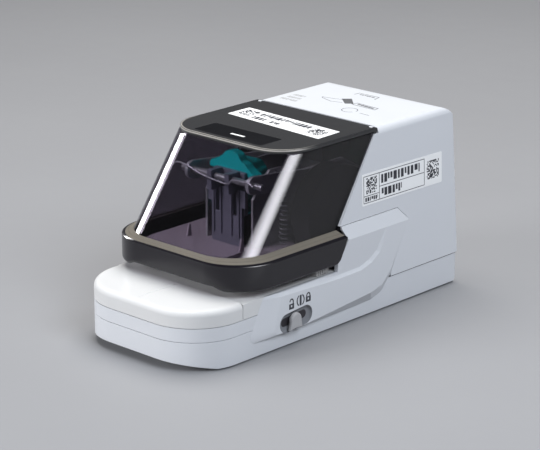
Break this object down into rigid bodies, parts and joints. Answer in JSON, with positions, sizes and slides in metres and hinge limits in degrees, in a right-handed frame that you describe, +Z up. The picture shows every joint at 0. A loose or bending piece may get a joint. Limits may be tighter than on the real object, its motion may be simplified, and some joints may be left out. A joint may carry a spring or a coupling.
{
  "type": "electric desktop stapler",
  "caption": "Desktop electric stapler: white housing, smoked cover hinged over the stapling head, and a side lock lever.",
  "frame": {"origin": "centre of the footprint, on the surface the stapler stands on", "axes": "+X to the right-hand side with the lock lever, +Y to the rear with the inlet, +Z up"},
  "size_m": [0.143, 0.288, 0.1426],
  "materials": {
    "white_case": "fine satin texture",
    "white_table": "fine satin texture, slightly warmer",
    "smoked_cover": "smoked transparent, polished",
    "rim_trim": "translucent satin",
    "dark_panel": "satin",
    "black_plastic": "satin",
    "white_lens": "diffusing",
    "grey_plastic": "fine texture",
    "floor_plastic": "satin",
    "dark_metal": "phosphated",
    "steel": "stamped and deburred",
    "zinc": "zinc plated",
    "rubber": "matt",
    "teal_plastic": "satin",
    "gear_plastic": "moulded",
    "brass": "machined",
    "electrics": "coated board",
    "label_paper": "coated paper"
  },
  "bodies": {
    "root": {"base_case": "white_case", "base_band": "white_case", "bottom_plate": "zinc", "rubber_feet": "rubber", "bottom_screws": "zinc", "front_table": "white_table", "throat_deck": "white_table", "anvil_plate": "steel", "clincher_block": "zinc", "clincher_pins": "steel", "side_panel_left": "white_case", "side_panel_right": "white_case", "upper_housing": "white_case", "inner_frame": "black_plastic", "power_inlet": "black_plastic", "side_label": "label_paper", "lever_recess": "black_plastic", "hinge_pins": "steel", "head_floor": "floor_plastic", "front_plate": "dark_metal", "head_plate_left": "steel", "head_plate_right": "steel", "head_spacers": "steel", "arm_shaft": "steel", "return_springs": "steel", "cartridge_case": "black_plastic", "cartridge_lid": "teal_plastic", "staple_stack": "steel", "idler_shaft": "steel", "motor": "zinc", "gear_plate": "steel", "gear_cover": "black_plastic", "motor_screws": "zinc", "power_supply": "electrics", "circuit_board": "electrics"},
    "cover": {"cover_shell": "smoked_cover", "cover_bezel": "smoked_cover", "rim_trim": "rim_trim", "top_panel": "dark_panel", "window_inlay": "black_plastic", "indicator_lens": "white_lens", "top_label": "label_paper"},
    "lock_lever": {"lock_lever": "grey_plastic"},
    "paper_stop": {"paper_stop": "grey_plastic"},
    "sensor": {"sensor_lever": "black_plastic"},
    "clincher_left": {"clincher_left": "steel"},
    "clincher_right": {"clincher_right": "steel"},
    "ram": {"ram": "dark_metal", "driver_blade": "steel", "cross_pin": "steel", "wire_bail": "steel"},
    "drive_arms": {"drive_arm_left": "steel", "drive_arm_right": "steel"},
    "release_lever": {"release_lever": "teal_plastic"},
    "cam": {"cam_shaft": "steel", "cams": "steel", "main_gear": "gear_plastic"},
    "idler": {"idler_gear": "gear_plastic"},
    "rotor": {"motor_pinion": "brass"},
    "power_rocker": {"power_rocker": "black_plastic"}
  },
  "joints": [
    {"name": "cover_hinge", "type": "hinge", "parent": "root", "child": "cover", "pos_m": [0, 0.0472, 0.1403], "axis": [-1, 0, 0], "range_deg": [0, 65]},
    {"name": "lock_lever_slide", "type": "slide", "parent": "root", "child": "lock_lever", "axis": [0, 0.9968, 0.0802], "range_m": [-0.007, 0.009]},
    {"name": "paper_stop_slide", "type": "slide", "parent": "root", "child": "paper_stop", "axis": [0, -1, 0], "range_m": [0, 0.009]},
    {"name": "sensor_hinge", "type": "hinge", "parent": "root", "child": "sensor", "pos_m": [-0.028, -0.037, 0.038], "axis": [-1, 0, 0], "range_deg": [0, 18], "stiffness_Nm_per_rad": 0.01, "springref_deg": -17.19},
    {"name": "clincher_right_hinge", "type": "hinge", "parent": "root", "child": "clincher_right", "pos_m": [0.0072, -0.0434, 0.038], "axis": [0, 1, 0], "range_deg": [0, 30]},
    {"name": "clincher_left_hinge", "type": "hinge", "parent": "root", "child": "clincher_left", "pos_m": [-0.0072, -0.0434, 0.038], "axis": [0, 1, 0], "range_deg": [-30, 0]},
    {"name": "arm_swing", "type": "hinge", "parent": "root", "child": "drive_arms", "pos_m": [0, 0.04, 0.104], "axis": [1, 0, 0], "range_deg": [0, 9.3], "stiffness_Nm_per_rad": 1.5, "springref_deg": -28.65, "deforming": ["return_springs"]},
    {"name": "ram_slide", "type": "slide", "parent": "root", "child": "ram", "axis": [0, 0, -1], "range_m": [0, 0.015]},
    {"name": "release_lever_hinge", "type": "hinge", "parent": "root", "child": "release_lever", "pos_m": [0, -0.022, 0.1155], "axis": [-1, 0, 0], "range_deg": [0, 25]},
    {"name": "cam_spin", "type": "hinge", "parent": "root", "child": "cam", "pos_m": [0, 0.016, 0.0835], "axis": [1, 0, 0], "continuous": true},
    {"name": "idler_spin", "type": "hinge", "parent": "root", "child": "idler", "pos_m": [0.045, 0.053, 0.07323], "axis": [1, 0, 0], "continuous": true},
    {"name": "rotor_spin", "type": "hinge", "parent": "root", "child": "rotor", "pos_m": [0.045, 0.0795, 0.06195], "axis": [1, 0, 0], "continuous": true},
    {"name": "power_rocker_hinge", "type": "hinge", "parent": "root", "child": "power_rocker", "pos_m": [-0.0623, 0.113, 0.043], "axis": [0, 0, 1], "range_deg": [-6, 6]}
  ],
  "couplings": [
    {"joint": "clincher_left_hinge", "follows": "clincher_right_hinge", "ratio": -1},
    {"joint": "ram_slide", "follows": "arm_swing", "m_per_rad": 0.0924},
    {"joint": "idler_spin", "follows": "cam_spin", "ratio": -5},
    {"joint": "rotor_spin", "follows": "cam_spin", "ratio": 25}
  ]
}
